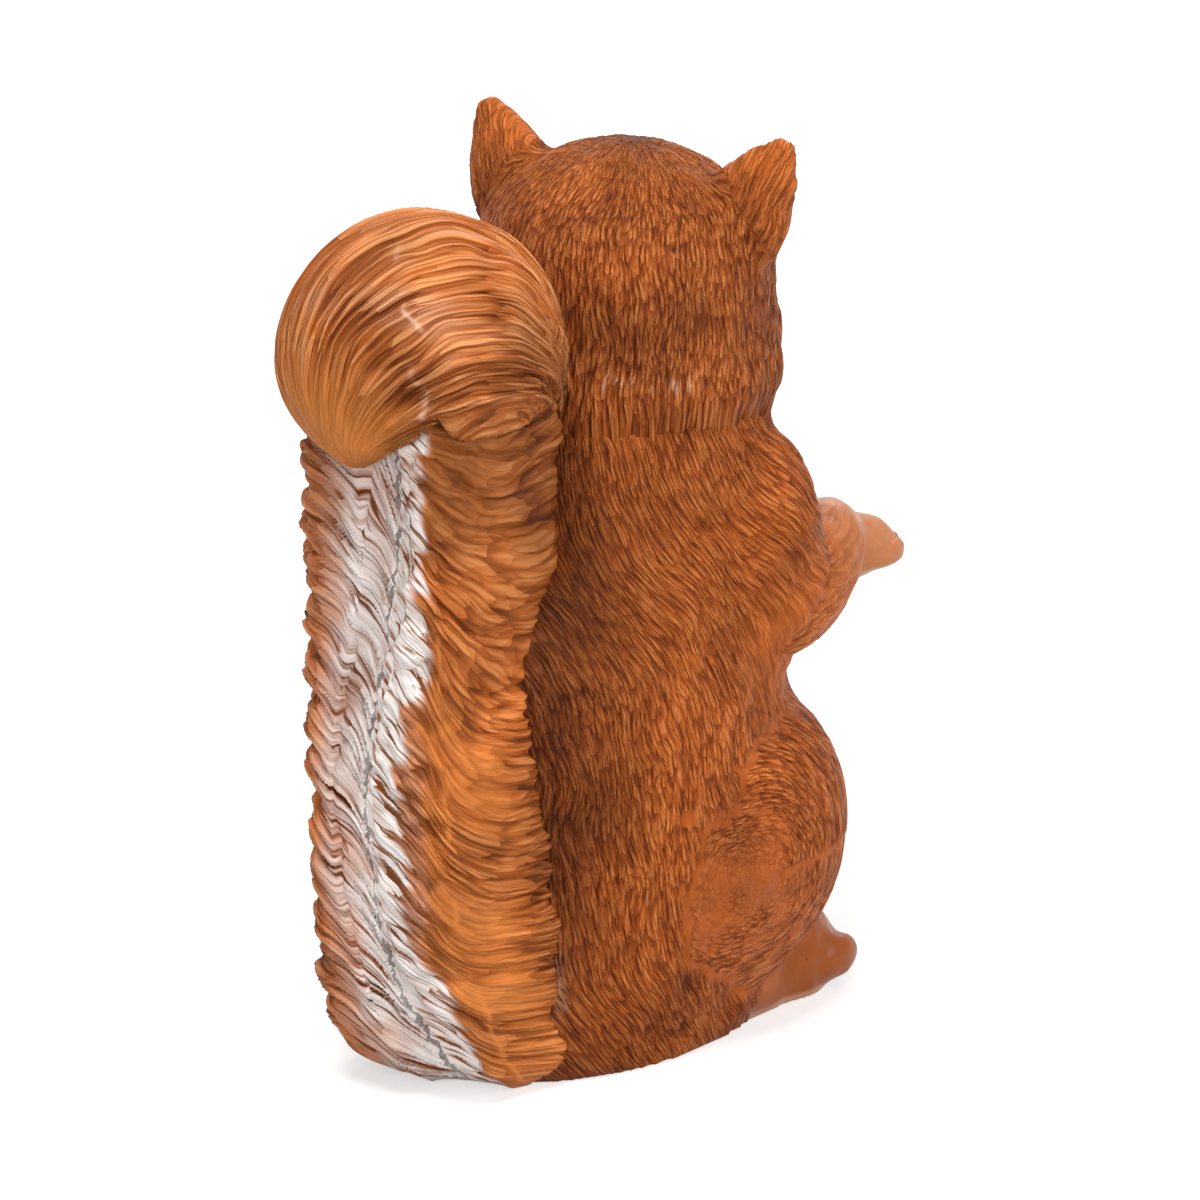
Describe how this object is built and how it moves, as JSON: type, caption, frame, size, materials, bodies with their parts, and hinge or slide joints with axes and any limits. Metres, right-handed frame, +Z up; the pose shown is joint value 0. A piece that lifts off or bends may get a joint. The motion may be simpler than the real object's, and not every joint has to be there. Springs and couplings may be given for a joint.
{
  "type": "squirrel figurine",
  "caption": "Seated squirrel ornament of painted cast resin, with carved fur, forepaws held out and a tall grooved tail that curls over at the top behind its head.",
  "frame": {"origin": "on the floor, in the underside of the base plate, midway between the two haunches", "axes": "+Z up; the squirrel faces -Y, its right side is -X and its tail stands at +Y"},
  "size_m": [0.091, 0.158, 0.1963],
  "materials": {
    "fur_paint": "satin",
    "tail_paint": "satin",
    "limb_paint": "satin",
    "eye_glass": "gloss",
    "bare_resin": "matte",
    "rod_wood": "matte"
  },
  "bodies": {
    "root": {"body_shell": "fur_paint", "head_casting": "fur_paint", "tail_trunk": "tail_paint", "tail_curl": "tail_paint", "right_forearm": "limb_paint", "left_forearm": "limb_paint", "right_foot": "limb_paint", "left_foot": "limb_paint", "right_eye": "eye_glass", "left_eye": "eye_glass", "base_plate": "bare_resin", "neck_dowel": "rod_wood", "tail_dowels": "rod_wood", "curl_dowel": "rod_wood", "arm_dowels": "rod_wood", "foot_dowels": "rod_wood"}
  },
  "joints": []
}
